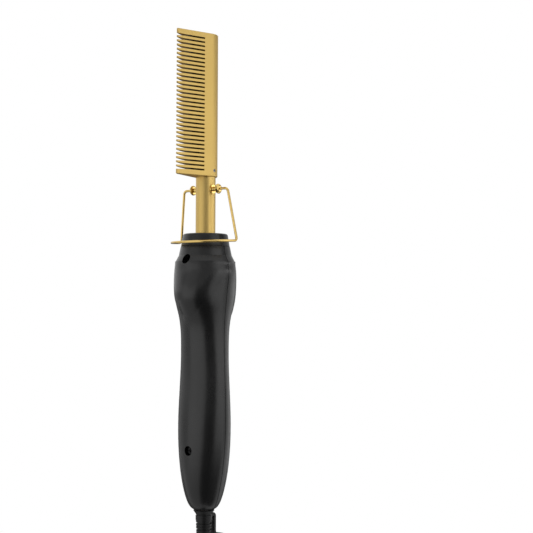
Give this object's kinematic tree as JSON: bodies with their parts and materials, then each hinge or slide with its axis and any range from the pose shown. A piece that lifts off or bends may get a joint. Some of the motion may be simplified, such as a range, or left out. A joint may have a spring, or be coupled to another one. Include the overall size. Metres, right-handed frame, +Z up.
{
  "type": "hot comb",
  "caption": "Electric hot comb: heated comb head on a tube stem, folding wire stand, black moulded handle with power button and lamp window, swivelling cord with hanging loop.",
  "frame": {"origin": "on the handle's axis in the middle of the grip, where a hand or holder takes hold of the handle", "axes": "+Z up the handle's axis to the comb's top end; +Y the way the teeth point; -Y the side of the button, the lamp window and the comb's round back; X along the stand's pivot"},
  "size_m": [0.0522, 0.0526, 0.4528],
  "materials": {
    "gold_satin": "satin anodised, gold",
    "gold_brushed": "fine satin, gold plated",
    "gold_polished": "polished, gold plated",
    "dark_steel": "plain",
    "black_matte": "fine matte mould texture",
    "black_satin": "satin",
    "holder_plastic": "plain",
    "smoked_lens": "gloss, smoked",
    "lamp_red": "clear red, lit",
    "switch_plastic": "plain",
    "board_green": "lacquered",
    "chip_black": "plain",
    "capacitor_yellow": "gloss",
    "heater_ceramic": "plain",
    "aluminium_part": "as machined",
    "sensor_glass": "gloss",
    "lead_sleeve": "woven glass sleeve",
    "contact_brass": "bright",
    "black_rubber": "matte",
    "cord_black": "matte",
    "tie_black": "plain",
    "blade_brass": "bright, tinned"
  },
  "bodies": {
    "handle": {"comb_head": "gold_satin", "head_set_screw": "dark_steel", "stem_tube": "gold_brushed", "heater_plate": "heater_ceramic", "heater_clamps": "aluminium_part", "temperature_sensor": "sensor_glass", "heater_leads": "lead_sleeve", "stand_stud_left": "gold_polished", "stand_stud_right": "gold_polished", "nose_collar": "black_satin", "stem_holder": "holder_plastic", "front_shell": "black_matte", "rear_shell": "black_matte", "shell_screws": "dark_steel", "indicator_window": "smoked_lens", "indicator_lamps": "lamp_red", "circuit_board": "board_green", "board_screws": "dark_steel", "tact_switch": "switch_plastic", "status_leds": "lamp_red", "triac": "chip_black", "control_chip": "chip_black", "filter_capacitor": "capacitor_yellow", "mains_choke": "chip_black", "swivel_socket": "holder_plastic", "wiper_contacts": "contact_brass", "supply_leads": "lead_sleeve"},
    "stand": {"wire_stand": "gold_polished"},
    "button": {"power_button": "black_satin"},
    "swivel": {"swivel_core": "holder_plastic", "slip_rings": "contact_brass", "cord_boot": "black_rubber", "hanging_loop": "black_rubber", "power_cord": "cord_black", "cord_hank": "cord_black", "cord_tail": "cord_black", "hank_tie": "tie_black", "plug_body": "black_rubber", "plug_blades": "blade_brass"}
  },
  "joints": [
    {"name": "stand_pivot", "type": "hinge", "parent": "handle", "child": "stand", "pos_m": [0, 0, 0.13], "axis": [1, 0, 0], "range_deg": [-5, 98]},
    {"name": "button_press", "type": "slide", "parent": "handle", "child": "button", "axis": [0, 1, 0], "range_m": [0, 0.0006], "stiffness_N_per_m": 1500, "springref_m": -0.0006},
    {"name": "cord_swivel", "type": "hinge", "parent": "handle", "child": "swivel", "pos_m": [0, 0, -0.049], "axis": [0, 0, 1], "continuous": true}
  ]
}
